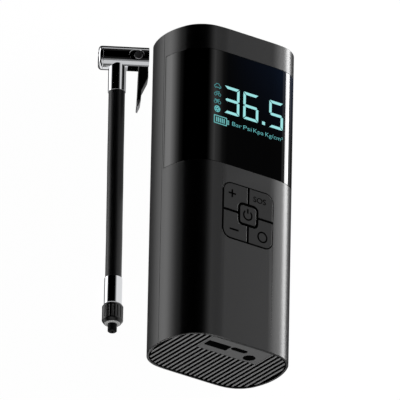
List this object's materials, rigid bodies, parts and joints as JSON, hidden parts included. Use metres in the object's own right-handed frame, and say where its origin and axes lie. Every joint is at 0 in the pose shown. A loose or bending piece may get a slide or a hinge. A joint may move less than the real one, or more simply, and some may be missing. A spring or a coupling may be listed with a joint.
{
  "type": "portable tire inflator",
  "caption": "Cordless tire inflator with a display band, a button pad, a ribbed ported end and a detachable air hose with a lever chuck.",
  "frame": {"origin": "centre of the body's flat back, which it lies on", "axes": "+X across the body, to the right when its front is read; +Y along the body, to the lamp end; +Z out of the front"},
  "size_m": [0.0975, 0.165, 0.0468],
  "materials": {
    "shell_plastic": "satin dark grey moulded plastic, fine texture",
    "end_plastic": "satin dark grey plastic",
    "gloss_panel": "deep gloss black panel",
    "clear_lens": "milky clear lens",
    "frame_plastic": "matt black plastic",
    "white_plastic": "white plastic",
    "board": "solder-mask green",
    "steel": "plated steel",
    "chrome": "bright chrome plate",
    "brass": "turned brass",
    "alloy": "die-cast alloy",
    "nylon": "natural nylon",
    "black_metal": "black anodised metal",
    "rubber": "black rubber",
    "cell_wrap": "blue shrink wrap",
    "copper": "copper winding and steel stack"
  },
  "bodies": {
    "body": {"front_shell": "shell_plastic", "rear_shell": "shell_plastic", "base_grille": "end_plastic", "port_plate": "end_plastic", "top_cap": "end_plastic", "lamp_lens": "clear_lens", "lamp_board": "board", "display_lens": "gloss_panel", "display_module": "white_plastic", "button_frame": "frame_plastic", "tact_switches": "steel", "main_board": "board", "port_board": "board", "usb_a_socket": "steel", "usb_c_socket": "steel", "outlet_bush": "brass", "air_tube": "rubber", "battery_cells": "cell_wrap", "battery_holder": "frame_plastic", "cell_links": "steel", "motor_can": "steel", "motor_magnets": "steel", "crank_bearing": "brass", "cylinder": "alloy", "valve_plate": "steel", "valve_flap": "rubber", "cylinder_head": "alloy", "pump_frame": "steel", "case_screws": "steel", "board_screws": "steel", "motor_screws": "steel"},
    "key_plus": {"button_plus": "shell_plastic"},
    "key_light": {"button_light": "shell_plastic"},
    "key_minus": {"button_minus": "shell_plastic"},
    "key_mode": {"button_mode": "shell_plastic"},
    "key_power": {"button_power": "shell_plastic"},
    "rotor": {"motor_rotor": "copper", "pinion": "brass"},
    "crank": {"crank_gear": "nylon", "crank_shaft": "steel", "crank_pin": "steel"},
    "rod": {"connecting_rod": "nylon", "wrist_pin": "steel"},
    "piston": {"piston": "alloy", "piston_seal": "rubber"},
    "hose_set": {"hose": "rubber", "upper_ferrule": "chrome", "lower_ferrule": "chrome", "chuck_body": "chrome", "chuck_cap": "chrome", "chuck_seal": "rubber", "lever_pin": "steel"},
    "lever": {"chuck_lever": "black_metal"},
    "plunger": {"chuck_plunger": "steel"},
    "connector": {"connector_nut": "black_metal", "nipple": "black_metal", "face_washer": "white_plastic"}
  },
  "joints": [
    {"name": "plus_press", "type": "slide", "parent": "body", "child": "key_plus", "axis": [0, 0, -1], "range_m": [0, 0.0006], "stiffness_N_per_m": 300, "springref_m": -0.002},
    {"name": "light_press", "type": "slide", "parent": "body", "child": "key_light", "axis": [0, 0, -1], "range_m": [0, 0.0006], "stiffness_N_per_m": 300, "springref_m": -0.002},
    {"name": "minus_press", "type": "slide", "parent": "body", "child": "key_minus", "axis": [0, 0, -1], "range_m": [0, 0.0006], "stiffness_N_per_m": 300, "springref_m": -0.002},
    {"name": "mode_press", "type": "slide", "parent": "body", "child": "key_mode", "axis": [0, 0, -1], "range_m": [0, 0.0006], "stiffness_N_per_m": 300, "springref_m": -0.002},
    {"name": "power_press", "type": "slide", "parent": "body", "child": "key_power", "axis": [0, 0, -1], "range_m": [0, 0.0006], "stiffness_N_per_m": 300, "springref_m": -0.002},
    {"name": "motor_spin", "type": "hinge", "parent": "body", "child": "rotor", "pos_m": [0.008, -0.038, 0.0175], "axis": [1, 0, 0], "continuous": true},
    {"name": "crank_spin", "type": "hinge", "parent": "body", "child": "crank", "pos_m": [0.008, -0.0555, 0.0175], "axis": [1, 0, 0], "continuous": true},
    {"name": "rod_swing", "type": "hinge", "parent": "crank", "child": "rod", "pos_m": [0.019, -0.0583, 0.0175], "axis": [1, 0, 0], "continuous": true},
    {"name": "piston_stroke", "type": "slide", "parent": "body", "child": "piston", "axis": [0, 1, 0], "range_m": [0, 0.0056]},
    {"name": "hose_aside", "type": "slide", "parent": "body", "child": "hose_set", "axis": [-1, 0, 0], "range_m": [0, 0.05]},
    {"name": "lever_turn", "type": "hinge", "parent": "hose_set", "child": "lever", "pos_m": [-0.0442, 0.06925, 0.01435], "axis": [-0.515, 0, 0.8572], "range_deg": [0, 90]},
    {"name": "plunger_slide", "type": "slide", "parent": "hose_set", "child": "plunger", "axis": [-0.8572, 0, -0.515], "range_m": [0, 0.002]},
    {"name": "nut_turn", "type": "hinge", "parent": "hose_set", "child": "connector", "pos_m": [-0.0493, -0.06015, 0.0052], "axis": [0, 1, 0], "continuous": true}
  ],
  "couplings": [
    {"joint": "crank_spin", "follows": "motor_spin", "ratio": -0.25},
    {"joint": "rod_swing", "follows": "motor_spin", "ratio": 0.25},
    {"joint": "lever_turn", "follows": "hose_aside", "rad_per_m": 31.416},
    {"joint": "plunger_slide", "follows": "hose_aside", "ratio": 0.04}
  ]
}
